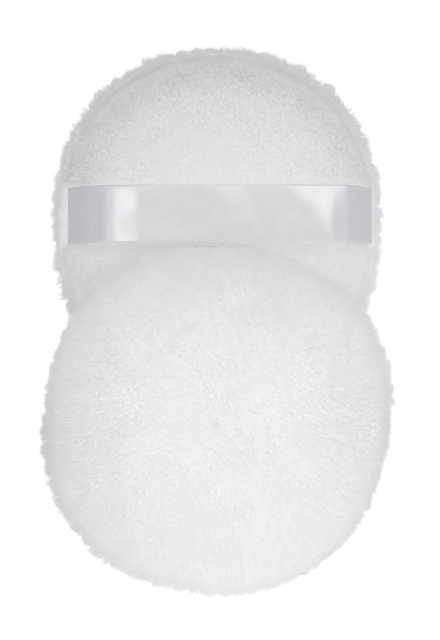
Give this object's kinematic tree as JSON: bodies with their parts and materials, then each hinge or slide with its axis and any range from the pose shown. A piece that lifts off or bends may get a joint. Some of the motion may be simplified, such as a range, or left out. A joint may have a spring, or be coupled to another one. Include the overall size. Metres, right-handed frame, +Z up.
{
  "type": "powder puff",
  "caption": "Round white plush powder puff with a satin finger strap across its back, lying strap up, and its twin leaning on it with the fluffy face up.",
  "frame": {"origin": "on the table, under the middle of the pair's footprint", "axes": "+X to the right and +Y away from the leaning puff, as the pair is seen from above with the lying puff at the top; +Z up"},
  "size_m": [0.1106, 0.1754, 0.0376],
  "materials": {
    "long_pile_plush": "fluffy white polyester plush, pile about 9 mm",
    "short_pile_plush": "velvety white polyester plush, pile about 3 mm",
    "wadding": "matt polyester wadding",
    "seam_thread": "white spun polyester sewing thread",
    "satin_ribbon": "white polyester satin, softly glossy"
  },
  "bodies": {
    "lying_puff": {"lying_face_plush": "long_pile_plush", "lying_back_plush": "short_pile_plush", "lying_wadding_pad": "wadding", "lying_seam_thread": "seam_thread", "lying_strap_end_left": "satin_ribbon", "lying_strap_end_right": "satin_ribbon"},
    "lying_strap": {"lying_strap_band": "satin_ribbon"},
    "leaning_puff": {"leaning_face_plush": "long_pile_plush", "leaning_back_plush": "short_pile_plush", "leaning_wadding_pad": "wadding", "leaning_seam_thread": "seam_thread", "leaning_strap_end_left": "satin_ribbon", "leaning_strap_end_right": "satin_ribbon"},
    "leaning_strap": {"leaning_strap_band": "satin_ribbon"}
  },
  "joints": [
    {"name": "lying_strap_lift", "type": "slide", "parent": "lying_puff", "child": "lying_strap", "axis": [0, 0, 1], "range_m": [-0.0043, 0.003], "stiffness_N_per_m": 5, "deforming": ["lying_strap_end_left", "lying_strap_end_right"]},
    {"name": "leaning_puff_lift", "type": "slide", "parent": "lying_puff", "child": "leaning_puff", "axis": [0, 0, 1], "range_m": [0, 0.06]},
    {"name": "leaning_strap_lift", "type": "slide", "parent": "leaning_puff", "child": "leaning_strap", "axis": [0, 0, -1], "range_m": [0, 0.0073], "stiffness_N_per_m": 5, "deforming": ["leaning_strap_end_left", "leaning_strap_end_right"]}
  ]
}
